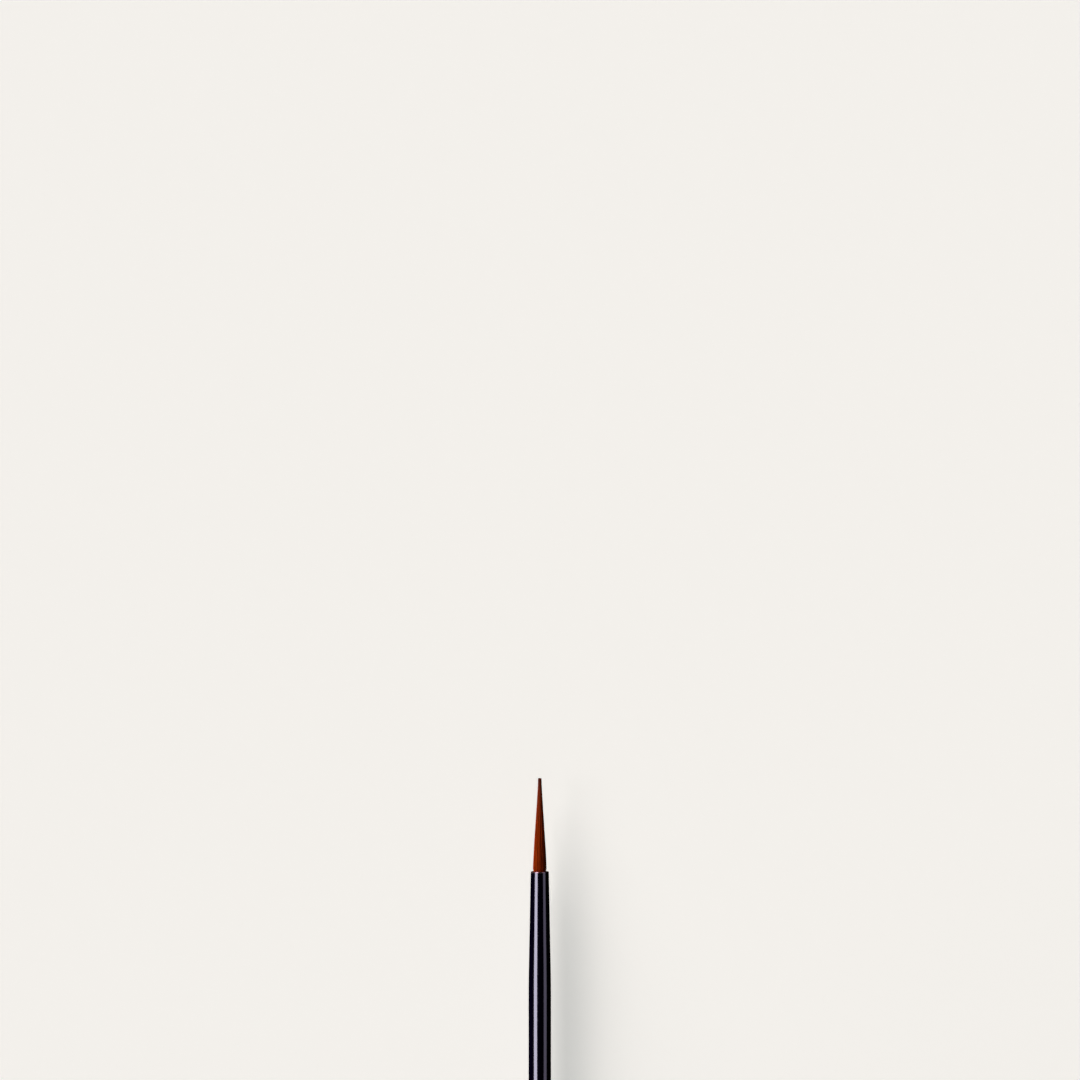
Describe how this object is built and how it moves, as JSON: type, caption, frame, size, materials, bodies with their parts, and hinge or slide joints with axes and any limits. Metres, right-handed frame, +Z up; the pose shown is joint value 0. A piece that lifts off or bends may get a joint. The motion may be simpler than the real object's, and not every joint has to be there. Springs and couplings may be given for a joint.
{
  "type": "fine detail brush",
  "caption": "Slim round paintbrush for fine detail: pointed red-brown filament tuft, coned dark gloss ferrule, turned and lacquered handle; lies on its side.",
  "frame": {"origin": "middle of the brush's length, under its axis, on the surface that it lies on", "axes": "+Y along the brush towards the point of the tuft, +Z up from the surface"},
  "size_m": [0.007, 0.172, 0.007],
  "materials": {
    "filament": "red-brown tapered synthetic filaments, satin",
    "thread": "waxed off-white binding thread",
    "cement": "amber cured epoxy",
    "ferrule": "near-black gloss anodising with a violet cast",
    "glue": "dried wood glue",
    "wood": "turned hardwood, sanded",
    "lacquer": "near-black violet lacquer, high gloss",
    "dip": "deep wine dipped lacquer, high gloss"
  },
  "bodies": {
    "brush": {"tuft_root": "filament", "binding_thread": "thread", "cement_plug": "cement", "ferrule": "ferrule", "tenon_glue": "glue", "handle_core": "wood", "handle_lacquer": "lacquer", "tail_dip": "dip"},
    "lower_tuft": {"tuft_belly": "filament"},
    "upper_tuft": {"tuft_point": "filament"}
  },
  "joints": [
    {"name": "tuft_sway", "type": "hinge", "parent": "brush", "child": "lower_tuft", "pos_m": [0, 0.0748, 0.0035], "axis": [0, 0, 1], "range_deg": [-30, 30], "stiffness_Nm_per_rad": 0.0004},
    {"name": "tuft_dip", "type": "hinge", "parent": "lower_tuft", "child": "upper_tuft", "pos_m": [0, 0.08, 0.0035], "axis": [1, 0, 0], "range_deg": [-30, 30], "stiffness_Nm_per_rad": 0.0002}
  ]
}
